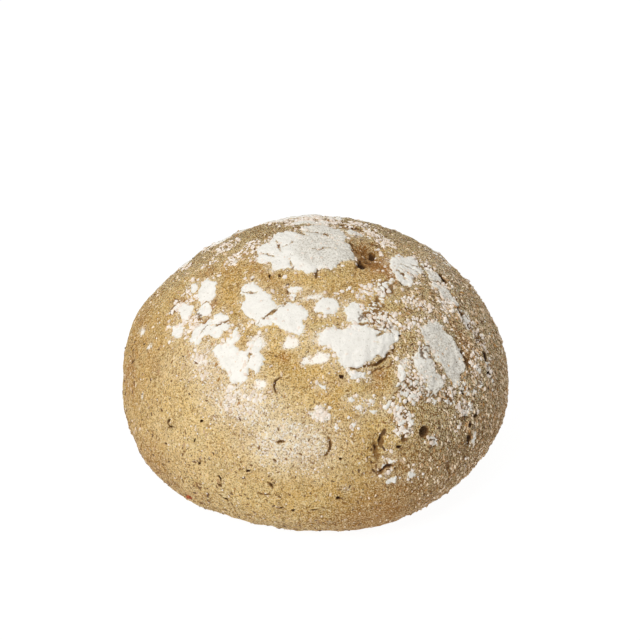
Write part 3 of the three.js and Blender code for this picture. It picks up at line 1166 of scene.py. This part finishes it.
@dataclass(frozen=True)
class FlourFinish:
    """White rice flour, caked by the steam of the oven and dried: fully matt and chalky.

    The eye sees off-white with a fine grey stipple, and the crust's warmth where it thins out. Painted
    shade darkens it along its cracks, and on the crown and the right it is greyer, partly from thin flour
    and partly from painted shade.

    Attributes:
        stipple: distance between its dots, in millimetres. Milled rice is 0.1 mm across, too fine to
            show, so the dots are drawn as coarse as they need to show.
        clots: distance between its clots.
        bump: how high both stand.
    """

    white: str = "#f6f2e9"
    grey: str = "#e2dccf"
    dots: str = "#bab09e"
    thin: str = "#dccba6"
    # painted shade along the cracks through the plates
    crack_shade: str = "#6a4a22"
    stipple: float = 0.5
    clots: float = 1.8
    bump: float = 0.18

    def material(self) -> bpy.types.Material:
        """Builds the flour's material.

        Returns:
            The finished material.
        """
        material, tree = new_material("caked_rice_flour")
        place = add_node(tree, "ShaderNodeTexCoord").outputs["Object"]
        stipple = {"Vector": place, "Scale": per_metre(self.stipple), "Detail": 3.0, "Roughness": 0.7}
        stipple = add_node(tree, "ShaderNodeTexNoise", stipple)
        clots = {"Vector": place, "Scale": per_metre(self.clots), "Detail": 3.0, "Roughness": 0.6}
        clots = add_node(tree, "ShaderNodeTexNoise", clots)
        thickness = add_node(tree, "ShaderNodeAttribute", attribute_name="cake").outputs["Fac"]
        grey = add_node(tree, "ShaderNodeAttribute", attribute_name="grey").outputs["Fac"]
        crack_shade = add_node(tree, "ShaderNodeAttribute", attribute_name="crack_shade").outputs["Fac"]
        dots = add_node(tree, "ShaderNodeMath", {0: grey, 1: 0.12, 2: stipple}, operation="MULTIPLY_ADD")
        thin = {0: stipple, 1: 0.4, 2: thickness}
        thin = add_node(tree, "ShaderNodeMath", thin, operation="MULTIPLY_ADD")
        layers = (  # driver, where the tint begins, where it is strongest, its share there, the tint
            (clots, 0.45, 0.75, 0.4, self.grey),
            # greyer on the crown and the right: partly thin flour, partly painted shade
            (grey, 0.0, 1.0, 0.4, self.grey),
            (dots, 0.6, 0.74, 0.8, self.dots),
            (thin, 0.35, 0.12, 1.0, self.thin),
            # painted shade along the cracks
            (crack_shade, 0.2, 0.9, 0.9, self.crack_shade),
        )
        height = {0: clots, 1: 1.5, 2: stipple}
        height = add_node(tree, "ShaderNodeMath", height, operation="MULTIPLY_ADD")
        bump = {"Height": height, "Strength": 1.0, "Distance": self.bump * MM}
        inputs = {
            "Base Color": tinted(tree, self.white, layers),
            "Roughness": 0.95,
            "Specular IOR Level": 0.15,
            "Normal": add_node(tree, "ShaderNodeBump", bump),
        }
        surface(tree, inputs)
        return material


@dataclass(frozen=True)
class CrumbFinish:
    """Small dry crumbs of one stuff, each a little lighter or darker than the next.

    Attributes:
        name: what the stuff is.
        dark: the darkest crumbs' colour.
        light: the lightest crumbs' colour.
        roughness: how matt they are.
    """

    name: str
    dark: str
    light: str
    roughness: float

    def material(self) -> bpy.types.Material:
        """Builds the crumbs' material.

        Returns:
            The finished material.
        """
        material, tree = new_material(self.name)
        tone = add_node(tree, "ShaderNodeAttribute", attribute_name="tone").outputs["Fac"]
        colour = add_node(tree, "ShaderNodeMix", {0: tone, 6: self.dark, 7: self.light}, data_type="RGBA")
        surface(tree, {"Base Color": colour, "Roughness": self.roughness})
        return material


# rice flour that dried in crumbs: chalky and off-white, and a little warm from the crust below
FLOUR_CRUMBS = CrumbFinish("flour_crumbs", dark="#e8d6c4", light="#f8f0e6", roughness=0.95)
# broken rice and starch, toasted at its edges: matt, from nut brown to the palest straw
RICE_GRIT = CrumbFinish("rice_grit", dark="#b08040", light="#fdebcf", roughness=0.8)
# flakes of the grain's coat, toasted by the oven: dull brown, with a faint sheen
TOASTED_BRAN = CrumbFinish("toasted_bran", dark="#583614", light="#986e36", roughness=0.6)
# a chip of a seed's husk: rust red, with a faint sheen
RUST_RED_HUSK = CrumbFinish("rust_red_husk", dark="#7c3010", light="#bb5a22", roughness=0.6)


# ---------------------------------------------------------------------------------------------
# Pieces
# ---------------------------------------------------------------------------------------------


def settle(
    piece: bpy.types.Object, material: bpy.types.Material | None = None
) -> bpy.types.Object:
    """Dresses a finished piece, rides it on the roll's body and logs it.

    Args:
        piece: the piece, its place in its mesh.
        material: its material, where its mesh has none yet.

    Returns:
        The same piece.
    """
    if material is not None:
        piece.data.materials.append(material)
    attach(piece, ROOT)
    LOG.info("%s: %d faces", piece.name, len(piece.data.polygons))
    return piece


@dataclass(frozen=True)
class Crust:
    """The roll's crust: one closed skin over the dough, down to the flat base.

    Attributes:
        rows: rows of squares along each edge of the ball's cube.
        browned: where the oven caught the crust, with a sixth number, how strongly.
        heel: the degrees down from the crown over which the roll's foot browned on the deck.
    """

    dough: Dough
    bake: Bake
    dusting: Dusting
    rows: int = 92
    heel: tuple[float, float] = (158, 180)
    browned: Dabs = (
        # the top: round the pit, below it, and behind the crown
        (8, 17, 7.5, 5.5, 0, 1), (353, 24, 4, 5, 0, 1), (104, 18, 2.6, 1.4, 0, 0.9),
        (63, 23, 4.5, 1.4, 0, 0.9),
        # the left edge and the furrow above it
        (194, 76, 7, 7, 0, 0.6), (212, 105, 12, 6, 20, 0.35), (206, 60, 13, 9, -20, 0.3),
        (180, 62, 6, 3, 0, 0.45), (172, 34, 6, 2.6, 20, 0.5), (180, 27, 8, 3, 35, 0.35),
        (206, 36, 7, 1.6, 126, 0.6), (186, 44, 5, 1.6, 52, 0.6), (235, 15, 9, 2, 0, 0.35),
        # the front: under the large plate, and round the low crease
        (297, 48, 5.5, 3.6, 0, 0.55), (291, 77, 5, 4, 0, 0.45), (256, 39, 2, 1.6, 0, 0.6),
        (254, 50, 1.2, 2.4, 0, 0.5), (237, 64, 1.2, 0.8, 0, 0.6),
        # the right furrow
        (337, 56, 4, 3, 80, 1), (335, 62, 3.6, 1.6, 80, 1), (340, 50, 4, 1.4, 80, 0.8),
        # behind
        (60, 70, 7, 4, 10, 0.5), (120, 74, 8, 4, -20, 0.5), (20, 50, 5, 2, 60, 0.5),
    )

    def shades(self, skin: Skin, dark: np.ndarray, grain: np.ndarray) -> dict[str, np.ndarray]:
        """The named values that the crust's material and the strewn things read.

        Args:
            skin: the dough's skin.
            dark: how much painted shade the pores, grooves and creases put on each point.
            grain: how high each point stands in the crust's own grain.

        Returns:
            A value for each vertex under each name.
        """
        curds, powder = self.dusting.loose(skin)
        browned = np.zeros(len(powder))
        for *place, share in self.browned:
            u, v, w = Spot(*place).shares(self.dough, skin.form, SHADE_DEEP)
            browned = np.maximum(browned, share * np.exp(-(u**2 + v**2 + w**2)))
        browned *= 0.6 + 0.8 * np.clip(Grain(3.5, 71, 2).at(skin.form) + 0.5, 0, 1)
        browned = np.maximum(browned, 0.8 * smooth(skin.down, *self.heel))
        # ranges of X, Y and height are in millimetres, and ranges of `down` are in degrees
        above = smooth(skin.form[:, 2], 1, 5)
        low = smooth(skin.down, 80, 125)
        lower_right = smooth(skin.form[:, 0], -6, 24) * smooth(skin.down, 60, 90)
        patchy = np.clip(0.7 + 0.9 * Grain(6, 73, 2).at(skin.form), 0.1, 1.6)
        left = smooth(-skin.form[:, 0], 26, 46)
        back = smooth(skin.form[:, 1], -5, 25)
        under_crown = np.exp(-(((skin.down - 17) / 7) ** 2))
        gritty = skin.right() * (1 - 0.6 * back)
        # the rough side: a coarser crust, whose stronger light and dark swing also paints highlights and
        # shade
        coarse = [0.9 * gritty, 0.6 * back * smooth(-skin.down, -75, -40), 0.15 * low]
        rough = 0.1 + np.maximum.reduce(coarse)
        # darker and more golden towards the bottom and the lower right, which is painted shade; the same
        # tint lies on the left edge, in a band under the crown and faintly behind
        golden_and_shade = 0.35 * low + 0.7 * lower_right + 0.35 * under_crown + 0.35 * left + 0.05 * back
        return {
            "powder": powder * (1 - 0.7 * dark) * above,
            # painted shade in pores, grooves and creases, and on the crust in the cracks between plates
            # and flakes
            "pit": np.maximum(dark, 0.6 * self.dusting.cracks(skin)),
            # lighter tops and darker hollows: partly flour and toasting, partly painted highlight and
            # shade, stronger where the crust is rough
            "raised": grain * (0.3 + 0.9 * rough),
            "rough": rough,
            "browned": np.clip(browned, 0, 1),
            # painted shade towards the bottom and the lower right, with the golden tint elsewhere
            "baked": np.clip(golden_and_shade, 0, 1),
            "curds": curds * (1 - dark),
            "dust": (0.03 + powder * smooth(powder, 0.15, 0.75)) * (1 - dark) * above,
            "grit": (0.08 + 0.92 * gritty) * (1 - dark) * smooth(skin.form[:, 2], 0.5, 3),
            "bran": (0.15 + 0.85 * smooth(skin.down, 55, 95)) * patchy * smooth(skin.form[:, 2], 0.5, 2),
        }

    def build(self) -> bpy.types.Object:
        """Makes the crust in place of the frame's solid.

        Returns:
            The finished piece.
        """
        ball = Ball(self.rows)
        for longest in (9, 2, 1):
            ball.refine(self.bake.fine_places(Skin(self.dough, ball.directions()), longest))
        skin = Skin(self.dough, ball.directions())
        rise, dark, grain = self.bake.relief(skin)
        piece = mesh_object("crust", skin.raised(rise), ball.faces(), self.shades(skin, dark, grain))
        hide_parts(NODE)
        return settle(piece, CrustFinish().material())


@dataclass(frozen=True)
class FlourPlates:
    """Flour caked on the crust, as closed plates a few tenths of a millimetre thick.

    Attributes:
        caking: whole plates or cracked flakes.
        thickness: how far a plate stands over the crust, in millimetres.
        edge: how far inside its edge a plate reaches that height.
        rows: rows of squares along each edge of the ball's cube.
        root: how far a plate's hidden rim reaches outside its edge.
        sunk: how far the underside lies inside the crust.
        uneven: how uneven the thickness is, as a share of it, and its grain.
        hairs: the pattern of hair cracks, `hair_width` half of one's width and `hair_depth` its depth.
    """

    dough: Dough
    bake: Bake
    dusting: Dusting
    name: str
    caking: Caking
    thickness: float
    edge: float
    rows: int = 100
    root: float = 0.15
    sunk: float = 0.4
    uneven: tuple[float, Grain] = (0.35, Grain(2.2, 81, 2))
    hairs: Grain = Grain(3.6, 91)
    hair_width: float = 0.1
    hair_depth: float = 0.14

    def inside(self, ball: Ball) -> np.ndarray:
        """Millimetres inside the plates' edges at each vertex of a ball; negative outside."""
        return self.dusting.caked(Skin(self.dough, ball.directions()), self.caking)

    def build(self, material: bpy.types.Material) -> bpy.types.Object:
        """Makes the plates.

        Args:
            material: the flour's material.

        Returns:
            The finished piece.
        """
        ball = Ball(self.rows)
        for margin, band in ((2.0, 9.0), (0.5, 0.5)):
            ball.keep(self.inside(ball) > -margin)
            ball.refine(np.abs(self.inside(ball)) < band)
        ball.keep(self.inside(ball) > -self.root)
        skin = Skin(self.dough, ball.directions())
        inside = self.dusting.caked(skin, self.caking)
        relief = self.bake.relief(skin)[0]
        share, grain = self.uneven
        uneven = 1 + share * grain.at(skin.form)
        top = self.thickness * uneven * (1 - np.exp(-np.maximum(inside, 0) / self.edge))
        hairline = np.exp(-((self.hairs.cells(skin.form)[0] / self.hair_width) ** 2))
        top = np.where(inside > 0, top - self.hair_depth * hairline, np.maximum(1.3 * inside, -0.35))
        upper = skin.raised(relief + top)
        lower = skin.raised(relief - self.sunk)
        shown = inside * (1 - 0.8 * hairline)
        # the plates' greyness is partly thin flour and partly painted shade, and the dark along their
        # cracks is painted shade
        shades = {"cake": shown, "grey": self.dusting.greyness(skin), "crack_shade": self.dusting.cracks(skin)}
        return settle(self.close(upper, lower, ball.faces(), shades), material)

    def close(
        self, upper: np.ndarray, lower: np.ndarray, faces: np.ndarray, shades: dict[str, np.ndarray]
    ) -> bpy.types.Object:
        """Joins a plate's top to its underside at its rim.

        Args:
            upper: the top's points.
            lower: the underside's points, in the same order.
            faces: the top's faces.
            shades: named values of the top's points; they are 0 on the underside.

        Returns:
            The closed mesh's object.
        """
        sides = np.concatenate([faces[:, [k, (k + 1) % 4]] for k in range(4)])
        sides = sides[sides[:, 0] != sides[:, 1]]
        keys, counts = np.unique(np.sort(sides, axis=1), axis=0, return_counts=True)
        rim = np.zeros(len(upper), bool)
        rim[keys[counts == 1]] = True
        under = np.arange(len(upper))
        under[~rim] = len(upper) + np.arange((~rim).sum())
        points = np.concatenate([upper, lower[~rim]])
        hidden = np.zeros((~rim).sum())
        shades = {label: np.concatenate([values, hidden]) for label, values in shades.items()}
        return mesh_object(self.name, points, np.concatenate([faces, under[faces[:, ::-1]]]), shades)


@dataclass(frozen=True)
class Chip:
    """A chip of red-brown husk, half sunk in the crust.

    Attributes:
        spot: where it lies, and its half length and half width.
        thickness: how far its middle stands out of the crust, in millimetres.
        rows: rows of squares along each edge of the ball's cube.
        lumps: how uneven its outline is, as a share of its reach, and the grain.
        tones: the grain of its colour.
    """

    dough: Dough
    spot: Spot
    thickness: float
    rows: int = 8
    lumps: tuple[float, Grain] = (0.35, Grain(0.9, 97, 2))
    tones: Grain = Grain(0.5, 99)

    def build(self, material: bpy.types.Material) -> bpy.types.Object:
        """Makes the chip.

        Args:
            material: the husk's material.

        Returns:
            The finished piece.
        """
        ball = Ball(self.rows)
        points = ball.directions() * (self.spot.length, self.spot.width, self.thickness)
        share, grain = self.lumps
        points *= 1 + share * grain.at(points)[:, None]
        middle, axes = self.spot.frame(self.dough)
        middle = middle + axes[2] * self.dough.lift(middle)
        shades = {"tone": np.clip(0.5 + self.tones.at(points), 0, 1)}
        chip = mesh_object("husk_chip", middle + points @ axes, ball.faces(), shades)
        return settle(chip, material)


@dataclass(frozen=True)
class Strewn:
    """Small grains strewn over the crust by Geometry Nodes, one piece for each kind.

    Attributes:
        name: the piece's name.
        slot: the name of a material slot; it is not used.
        where: the crust's named value that says how thickly they lie.
        per_square: how many lie on a square millimetre where that value is 1.
        size: half of a grain's width, in millimetres.
        spread: how much grains differ in size, as a share.
        length: a grain's length over its width.
        flatness: a grain's thickness over its width.
        lumps: how uneven a grain is, as a share of its size.
        seed: picks one pattern of many.
        swing: how far a grain's length may turn from uphill, in radians.
        tilt: how far a grain may tip out of the crust's plane, in radians.
    """

    name: str
    slot: str
    where: str
    per_square: float
    size: float
    spread: float
    length: float
    flatness: float
    lumps: float
    seed: int
    swing: float = math.pi
    tilt: float = 0.35

    def tree(self) -> bpy.types.NodeTree:
        """Builds the node tree that strews the grains.

        Returns:
            The tree, with a named input for each of its sizes.
        """
        tree = bpy.data.node_groups.new(f"strew_{self.name}", "GeometryNodeTree")
        sockets = {"Crust": "Geometry", "Where": "String", "Density": "Float", "Smallest": "Float"}
        sockets |= {"Largest": "Float", "Length": "Float", "Flatness": "Float", "Lumps": "Float"}
        sockets |= {"Swing": "Float", "Seed": "Int", "Material": "Material"}
        for label, kind in sockets.items():
            tree.interface.new_socket(label, in_out="INPUT", socket_type=f"NodeSocket{kind}")
        tree.interface.new_socket("Grains", in_out="OUTPUT", socket_type="NodeSocketGeometry")
        given = add_node(tree, "NodeGroupInput").outputs
        where = {"Name": given["Where"]}
        where = add_node(tree, "GeometryNodeInputNamedAttribute", where, data_type="FLOAT")
        thickly = add_node(tree, "ShaderNodeMath", {0: where, 1: given["Density"]}, operation="MULTIPLY")
        seats = {"Mesh": given["Crust"], "Density": thickly, "Seed": given["Seed"]}
        seats = add_node(tree, "GeometryNodeDistributePointsOnFaces", seats, distribute_method="RANDOM")
        ends = []
        for sign in (-1.0, 1.0):
            tip = sign * self.tilt
            end = {0: given["Swing"], 1: sign, 2: math.pi / 2}
            end = add_node(tree, "ShaderNodeMath", end, operation="MULTIPLY_ADD")
            ends.append(add_node(tree, "ShaderNodeCombineXYZ", {"X": tip, "Y": tip, "Z": end}))
        tilt = {0: ends[0], 1: ends[1], "Seed": 5}
        tilt = add_node(tree, "FunctionNodeRandomValue", tilt, data_type="FLOAT_VECTOR")
        tilt = add_node(tree, "FunctionNodeEulerToRotation", {"Euler": tilt})
        turn = {"Rotation": seats.outputs["Rotation"], "Rotate By": tilt}
        turn = add_node(tree, "FunctionNodeRotateRotation", turn, rotation_space="LOCAL")
        chance = add_node(tree, "FunctionNodeRandomValue", {"Seed": 9}, data_type="FLOAT")
        small = add_node(tree, "ShaderNodeMath", {0: chance, 1: 2.0}, operation="POWER")
        scale = {"Value": small, "To Min": given["Smallest"], "To Max": given["Largest"]}
        scale = add_node(tree, "ShaderNodeMapRange", scale)
        shape = {"X": given["Length"], "Y": 1.0, "Z": given["Flatness"]}
        shape = add_node(tree, "ShaderNodeCombineXYZ", shape)
        grain = add_node(tree, "GeometryNodeMeshIcoSphere", {"Radius": 1.0, "Subdivisions": 1})
        grain = add_node(tree, "GeometryNodeTransform", {"Geometry": grain, "Scale": shape})
        strewn = {"Points": seats, "Instance": grain, "Rotation": turn, "Scale": scale}
        strewn = add_node(tree, "GeometryNodeInstanceOnPoints", strewn)
        tone = add_node(tree, "FunctionNodeRandomValue", {"Seed": 23}, data_type="FLOAT")
        toned = {"Geometry": strewn, "Name": "tone", "Value": tone}
        kept = {"data_type": "FLOAT", "domain": "INSTANCE"}
        toned = add_node(tree, "GeometryNodeStoreNamedAttribute", toned, **kept)
        real = add_node(tree, "GeometryNodeRealizeInstances", {"Geometry": toned})
        noise = add_node(tree, "ShaderNodeTexNoise", {"Scale": per_metre(self.size), "Detail": 1.0})
        push = {0: noise.outputs["Color"], 1: (0.5, 0.5, 0.5)}
        push = add_node(tree, "ShaderNodeVectorMath", push, operation="SUBTRACT")
        push = {0: push, "Scale": given["Lumps"]}
        push = add_node(tree, "ShaderNodeVectorMath", push, operation="SCALE")
        lumpy = add_node(tree, "GeometryNodeSetPosition", {"Geometry": real, "Offset": push})
        dressed = {"Geometry": lumpy, "Material": given["Material"]}
        dressed = add_node(tree, "GeometryNodeSetMaterial", dressed)
        add_node(tree, "NodeGroupOutput", {"Grains": dressed})
        return tree

    def build(self, crust: bpy.types.Object, material: bpy.types.Material) -> bpy.types.Object:
        """Strews the grains over the crust and makes them a plain mesh.

        Args:
            crust: the crust's object, whose mesh carries the named value.
            material: the grains' material.

        Returns:
            The finished piece.
        """
        host = placed(f"{self.name}_host", crust.data.copy())
        modifier = host.modifiers.new("strew", "NODES")
        modifier.node_group = self.tree()
        values = {
            "Where": self.where,
            "Density": self.per_square / MM**2,
            "Smallest": self.size * (1 - self.spread) * MM,
            "Largest": self.size * (1 + self.spread) * MM,
            "Length": self.length,
            "Flatness": self.flatness,
            "Lumps": self.lumps * self.size * MM,
            "Swing": self.swing,
            "Seed": self.seed,
            "Material": material,
        }
        for socket in modifier.node_group.interface.items_tree:
            if socket.in_out == "INPUT" and socket.name in values:
                modifier[socket.identifier] = values[socket.name]
        evaluated = host.evaluated_get(bpy.context.evaluated_depsgraph_get())
        mesh = bpy.data.meshes.new_from_object(evaluated)
        mesh.name = self.name
        bpy.data.objects.remove(host)
        return settle(placed(self.name, mesh))


# ---------------------------------------------------------------------------------------------
# The studio: floor, light and camera
# ---------------------------------------------------------------------------------------------


@dataclass(frozen=True)
class Studio:
    """A white floor, soft light from three sides and all round, and the camera.

    Attributes:
        elevation: how steeply the camera looks down, in degrees.
        distance: from the camera to what it looks at, in millimetres.
        lens: its focal length.
        sensor: its sensor's width.
        aim: what it looks at.
        floor_half: half of the floor's side.
        floor_tone: how much of the light the floor gives back.
        floor_glow: how strongly it shines by itself.
        lamps: each soft light's name, its place, its side and its power in watts. They stand in front
            on the left, above, and behind on the right.
        sky: how strong the even light from all round is.
    """

    elevation: float = 38
    distance: float = 560
    lens: float = 121.5
    sensor: float = 36
    aim: tuple[float, float, float] = (1.5, 0, 38)
    floor_half: float = 3000
    floor_tone: float = 0.1
    floor_glow: float = 0.95
    lamps: tuple[tuple[str, tuple[float, float, float], float, float], ...] = (
        ("key", (-420, -480, 620), 300, 4.1),
        ("top", (0, 0, 1000), 800, 3.2),
        ("back", (350, 700, 350), 500, 1.3),
    )
    sky: float = 0.26

    def floor(self) -> None:
        """A wide white floor that glows a little, so that it stays white round the roll."""
        material, tree = new_material("white_floor")
        inputs = {
            "Base Color": (self.floor_tone, self.floor_tone, self.floor_tone, 1),
            "Roughness": 0.9,
            "Specular IOR Level": 0,
            "Emission Color": "#ffffff",
            "Emission Strength": self.floor_glow,
        }
        surface(tree, inputs)
        corners = self.floor_half * np.array([(-1, -1, 0), (1, -1, 0), (1, 1, 0), (-1, 1, 0)])
        floor = mesh_object("floor", corners, np.array([(0, 1, 2, 3)]), {})
        floor.data.materials.append(material)

    def light(self, name: str, place: tuple[float, float, float], size: float, power: float) -> None:
        """A square soft light that faces the roll.

        Args:
            name: the light's name.
            place: its middle, in millimetres.
            size: its side, in millimetres.
            power: its power in watts.
        """
        lamp = bpy.data.lights.new(name, "AREA")
        lamp.size = size * MM
        lamp.energy = power
        holder = placed(name, lamp)
        holder.location = [c * MM for c in place]
        holder.rotation_euler = holder.location.to_track_quat("Z", "Y").to_euler()

    def world(self) -> None:
        """Even white light from all round."""
        world = bpy.data.worlds.new("studio")
        world.use_nodes = True
        background = world.node_tree.nodes["Background"]
        background.inputs["Color"].default_value = linear("#ffffff")
        background.inputs["Strength"].default_value = self.sky
        bpy.context.scene.world = world

    def camera(self) -> None:
        """The camera, which looks along +Y and down at the roll."""
        lens = bpy.data.cameras.new("camera")
        lens.lens = self.lens
        lens.sensor_width = self.sensor
        holder = placed("camera", lens)
        rise = math.radians(self.elevation)
        back = (0, -math.cos(rise) * self.distance, math.sin(rise) * self.distance)
        holder.location = [(a + b) * MM for a, b in zip(self.aim, back)]
        holder.rotation_euler = (math.pi / 2 - rise, 0, 0)
        bpy.context.scene.camera = holder

    def build(self) -> None:
        """Sets up the whole studio."""
        self.camera()
        self.floor()
        for name, place, side, power in self.lamps:
            self.light(name, place, side, power)
        self.world()
        bpy.context.scene.view_settings.view_transform = "Standard"


def main() -> None:
    """Builds the studio and the roll, and logs each piece's face count."""
    logging.basicConfig(level=logging.INFO)
    Studio().build()
    dough = Dough()
    bake = Bake(dough)
    dusting = Dusting(dough)
    crust = Crust(dough, bake, dusting).build()
    flour = FlourFinish().material()
    cakes = FlourPlates(
        dough, bake, dusting, "flour_cakes", caking=Caking.WHOLE, thickness=0.3, edge=0.16
    )
    cakes.build(flour)
    flakes = FlourPlates(
        dough, bake, dusting, "flour_flakes", caking=Caking.CRACKED, thickness=0.36, edge=0.2
    )
    flakes.build(flour)
    powder = FLOUR_CRUMBS.material()
    grit = RICE_GRIT.material()
    bran = TOASTED_BRAN.material()
    husk = RUST_RED_HUSK.material()
    Chip(dough, Spot(229, 121, 0.9, 0.7, 20), thickness=0.6).build(husk)
    curds = Strewn(
        "flour_curds", slot="flour", where="curds", per_square=1.6, size=0.42, spread=0.5,
        length=1.2, flatness=0.7, lumps=1.2, seed=11,
    )
    curds.build(crust, powder)
    dust = Strewn(
        "flour_dust", slot="flour", where="dust", per_square=1.7, size=0.18, spread=0.6,
        length=1.1, flatness=0.6, lumps=0.9, seed=13,
    )
    dust.build(crust, powder)
    rice = Strewn(
        "rice_grit", slot="crust", where="grit", per_square=1.2, size=0.24, spread=0.5,
        length=2.2, flatness=0.8, lumps=1.0, seed=19, swing=0.5,
    )
    rice.build(crust, grit)
    flecks = Strewn(
        "bran_flecks", slot="bran", where="bran", per_square=0.26, size=0.24, spread=0.5,
        length=2.4, flatness=0.35, lumps=0.6, seed=17,
    )
    flecks.build(crust, bran)


if __name__ == "__main__":
    main()
